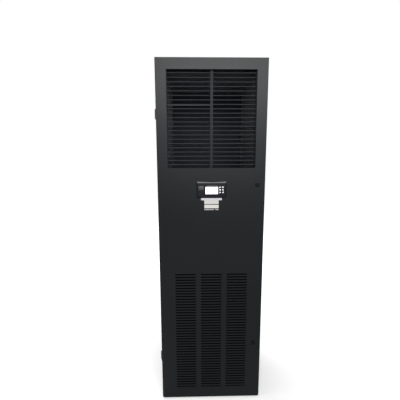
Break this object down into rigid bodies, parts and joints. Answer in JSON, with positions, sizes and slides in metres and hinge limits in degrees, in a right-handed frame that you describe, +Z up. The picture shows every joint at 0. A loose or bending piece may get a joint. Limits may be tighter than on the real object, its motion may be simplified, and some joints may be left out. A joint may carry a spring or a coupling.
{
  "type": "precision air conditioner",
  "caption": "Tall black computer room air conditioner: hinged front door with tilting outlet vanes above, a small display with keys, and a slotted return grille below.",
  "frame": {"origin": "floor level, under the middle of the cabinet's width and depth", "axes": "+Z up, the door faces -Y, +X is the viewer's right when facing the door"},
  "size_m": [0.6083, 0.6444, 2],
  "materials": {
    "cabinet_paint": "fine-grained satin powder coat",
    "door_paint": "fine-grained satin powder coat",
    "galvanised_steel": "dull zinc spangle",
    "duct_paint": "dull grey coat",
    "motor_casting": "cast, dull",
    "fan_blades": "rolled sheet",
    "fin_aluminium": "thin rolled fins",
    "copper_tube": "drawn copper, lightly tarnished",
    "compressor_paint": "gloss black enamel",
    "fitting_brass": "turned brass",
    "gear_plastic": "moulded grey plastic",
    "wear_plate": "nylon",
    "hinge_steel": "black coated steel",
    "lock_metal": "black die-cast zinc",
    "louvre_plastic": "fine-grained moulding",
    "filter_cloth": "charcoal pleated media",
    "bezel_plastic": "smooth gloss moulding",
    "screen_glass": "lit screen behind a clear window",
    "circuit_board": "green board",
    "key_plastic": "white moulded keys",
    "label_card": "blank coated card"
  },
  "bodies": {
    "cabinet": {"base_frame": "cabinet_paint", "corner_posts": "galvanised_steel", "top_panel": "cabinet_paint", "left_side_panel": "cabinet_paint", "right_side_panel": "cabinet_paint", "rear_panel": "cabinet_paint", "fan_deck": "galvanised_steel", "fan_motor": "motor_casting", "supply_plenum": "duct_paint", "coil_fins": "fin_aluminium", "coil_tubes": "copper_tube", "drain_pan": "galvanised_steel", "compressor": "compressor_paint", "refrigerant_pipes": "copper_tube", "filter_drier": "compressor_paint", "pipe_fittings": "fitting_brass", "control_box": "galvanised_steel", "control_gear": "gear_plastic", "lock_keepers": "wear_plate", "hinge_frame_leaves": "hinge_steel"},
    "door": {"door_panel": "door_paint", "louvre_frame": "louvre_plastic", "lock_bodies": "lock_metal", "display_bezel": "bezel_plastic", "display_window": "screen_glass", "display_board": "circuit_board", "blank_label": "label_card", "hinge_door_leaves": "hinge_steel"},
    "air_filter": {"air_filter": "filter_cloth"},
    "fan": {"fan_impeller": "fan_blades"},
    "upper_lock": {"upper_lock_cam": "lock_metal"},
    "lower_lock": {"lower_lock_cam": "lock_metal"},
    "key_1": {"display_key_1": "key_plastic"},
    "key_2": {"display_key_2": "key_plastic"},
    "key_3": {"display_key_3": "key_plastic"},
    "key_4": {"display_key_4": "key_plastic"},
    "key_5": {"display_key_5": "key_plastic"},
    "key_6": {"display_key_6": "key_plastic"},
    "vane_01": {"vane_row_01": "louvre_plastic"},
    "vane_02": {"vane_row_02": "louvre_plastic"},
    "vane_03": {"vane_row_03": "louvre_plastic"},
    "vane_04": {"vane_row_04": "louvre_plastic"},
    "vane_05": {"vane_row_05": "louvre_plastic"},
    "vane_06": {"vane_row_06": "louvre_plastic"},
    "vane_07": {"vane_row_07": "louvre_plastic"},
    "vane_08": {"vane_row_08": "louvre_plastic"},
    "vane_09": {"vane_row_09": "louvre_plastic"},
    "vane_10": {"vane_row_10": "louvre_plastic"},
    "vane_11": {"vane_row_11": "louvre_plastic"},
    "vane_12": {"vane_row_12": "louvre_plastic"},
    "vane_13": {"vane_row_13": "louvre_plastic"},
    "vane_14": {"vane_row_14": "louvre_plastic"},
    "vane_15": {"vane_row_15": "louvre_plastic"},
    "vane_16": {"vane_row_16": "louvre_plastic"},
    "vane_17": {"vane_row_17": "louvre_plastic"},
    "vane_18": {"vane_row_18": "louvre_plastic"},
    "vane_19": {"vane_row_19": "louvre_plastic"},
    "vane_20": {"vane_row_20": "louvre_plastic"},
    "vane_21": {"vane_row_21": "louvre_plastic"},
    "vane_22": {"vane_row_22": "louvre_plastic"}
  },
  "joints": [
    {"name": "door_swing", "type": "hinge", "parent": "cabinet", "child": "door", "pos_m": [-0.3043, -0.274, 1], "axis": [0, 0, -1], "range_deg": [0, 120]},
    {"name": "filter_lift", "type": "slide", "parent": "door", "child": "air_filter", "axis": [0, 0, 1], "range_m": [0, 0.38]},
    {"name": "fan_spin", "type": "hinge", "parent": "cabinet", "child": "fan", "pos_m": [0, 0.06, 0.907], "axis": [0, 0, 1], "continuous": true},
    {"name": "upper_lock_turn", "type": "hinge", "parent": "door", "child": "upper_lock", "pos_m": [0.257, -0.3, 1.334], "axis": [0, -1, 0], "range_deg": [0, 90]},
    {"name": "lower_lock_turn", "type": "hinge", "parent": "door", "child": "lower_lock", "pos_m": [0.257, -0.3, 0.372], "axis": [0, -1, 0], "range_deg": [0, 90]},
    {"name": "key_1_press", "type": "slide", "parent": "door", "child": "key_1", "axis": [0, 1, 0], "range_m": [0, 0.0008], "stiffness_N_per_m": 500, "springref_m": -0.0005},
    {"name": "key_2_press", "type": "slide", "parent": "door", "child": "key_2", "axis": [0, 1, 0], "range_m": [0, 0.0008], "stiffness_N_per_m": 500, "springref_m": -0.0005},
    {"name": "key_3_press", "type": "slide", "parent": "door", "child": "key_3", "axis": [0, 1, 0], "range_m": [0, 0.0008], "stiffness_N_per_m": 500, "springref_m": -0.0005},
    {"name": "key_4_press", "type": "slide", "parent": "door", "child": "key_4", "axis": [0, 1, 0], "range_m": [0, 0.0008], "stiffness_N_per_m": 500, "springref_m": -0.0005},
    {"name": "key_5_press", "type": "slide", "parent": "door", "child": "key_5", "axis": [0, 1, 0], "range_m": [0, 0.0008], "stiffness_N_per_m": 500, "springref_m": -0.0005},
    {"name": "key_6_press", "type": "slide", "parent": "door", "child": "key_6", "axis": [0, 1, 0], "range_m": [0, 0.0008], "stiffness_N_per_m": 500, "springref_m": -0.0005},
    {"name": "vane_01_tilt", "type": "hinge", "parent": "door", "child": "vane_01", "pos_m": [0, -0.274, 1.929], "axis": [1, 0, 0], "range_deg": [-35, 35]},
    {"name": "vane_02_tilt", "type": "hinge", "parent": "door", "child": "vane_02", "pos_m": [0, -0.274, 1.90608], "axis": [1, 0, 0], "range_deg": [-35, 35]},
    {"name": "vane_03_tilt", "type": "hinge", "parent": "door", "child": "vane_03", "pos_m": [0, -0.274, 1.88315], "axis": [1, 0, 0], "range_deg": [-35, 35]},
    {"name": "vane_04_tilt", "type": "hinge", "parent": "door", "child": "vane_04", "pos_m": [0, -0.274, 1.86023], "axis": [1, 0, 0], "range_deg": [-35, 35]},
    {"name": "vane_05_tilt", "type": "hinge", "parent": "door", "child": "vane_05", "pos_m": [0, -0.274, 1.8373], "axis": [1, 0, 0], "range_deg": [-35, 35]},
    {"name": "vane_06_tilt", "type": "hinge", "parent": "door", "child": "vane_06", "pos_m": [0, -0.274, 1.81438], "axis": [1, 0, 0], "range_deg": [-35, 35]},
    {"name": "vane_07_tilt", "type": "hinge", "parent": "door", "child": "vane_07", "pos_m": [0, -0.274, 1.79146], "axis": [1, 0, 0], "range_deg": [-35, 35]},
    {"name": "vane_08_tilt", "type": "hinge", "parent": "door", "child": "vane_08", "pos_m": [0, -0.274, 1.76853], "axis": [1, 0, 0], "range_deg": [-35, 35]},
    {"name": "vane_09_tilt", "type": "hinge", "parent": "door", "child": "vane_09", "pos_m": [0, -0.274, 1.74561], "axis": [1, 0, 0], "range_deg": [-35, 35]},
    {"name": "vane_10_tilt", "type": "hinge", "parent": "door", "child": "vane_10", "pos_m": [0, -0.274, 1.72269], "axis": [1, 0, 0], "range_deg": [-35, 35]},
    {"name": "vane_11_tilt", "type": "hinge", "parent": "door", "child": "vane_11", "pos_m": [0, -0.274, 1.69976], "axis": [1, 0, 0], "range_deg": [-35, 35]},
    {"name": "vane_12_tilt", "type": "hinge", "parent": "door", "child": "vane_12", "pos_m": [0, -0.274, 1.67684], "axis": [1, 0, 0], "range_deg": [-35, 35]},
    {"name": "vane_13_tilt", "type": "hinge", "parent": "door", "child": "vane_13", "pos_m": [0, -0.274, 1.65391], "axis": [1, 0, 0], "range_deg": [-35, 35]},
    {"name": "vane_14_tilt", "type": "hinge", "parent": "door", "child": "vane_14", "pos_m": [0, -0.274, 1.63099], "axis": [1, 0, 0], "range_deg": [-35, 35]},
    {"name": "vane_15_tilt", "type": "hinge", "parent": "door", "child": "vane_15", "pos_m": [0, -0.274, 1.60807], "axis": [1, 0, 0], "range_deg": [-35, 35]},
    {"name": "vane_16_tilt", "type": "hinge", "parent": "door", "child": "vane_16", "pos_m": [0, -0.274, 1.58514], "axis": [1, 0, 0], "range_deg": [-35, 35]},
    {"name": "vane_17_tilt", "type": "hinge", "parent": "door", "child": "vane_17", "pos_m": [0, -0.274, 1.56222], "axis": [1, 0, 0], "range_deg": [-35, 35]},
    {"name": "vane_18_tilt", "type": "hinge", "parent": "door", "child": "vane_18", "pos_m": [0, -0.274, 1.5393], "axis": [1, 0, 0], "range_deg": [-35, 35]},
    {"name": "vane_19_tilt", "type": "hinge", "parent": "door", "child": "vane_19", "pos_m": [0, -0.274, 1.51637], "axis": [1, 0, 0], "range_deg": [-35, 35]},
    {"name": "vane_20_tilt", "type": "hinge", "parent": "door", "child": "vane_20", "pos_m": [0, -0.274, 1.49345], "axis": [1, 0, 0], "range_deg": [-35, 35]},
    {"name": "vane_21_tilt", "type": "hinge", "parent": "door", "child": "vane_21", "pos_m": [0, -0.274, 1.47052], "axis": [1, 0, 0], "range_deg": [-35, 35]},
    {"name": "vane_22_tilt", "type": "hinge", "parent": "door", "child": "vane_22", "pos_m": [0, -0.274, 1.4476], "axis": [1, 0, 0], "range_deg": [-35, 35]}
  ]
}
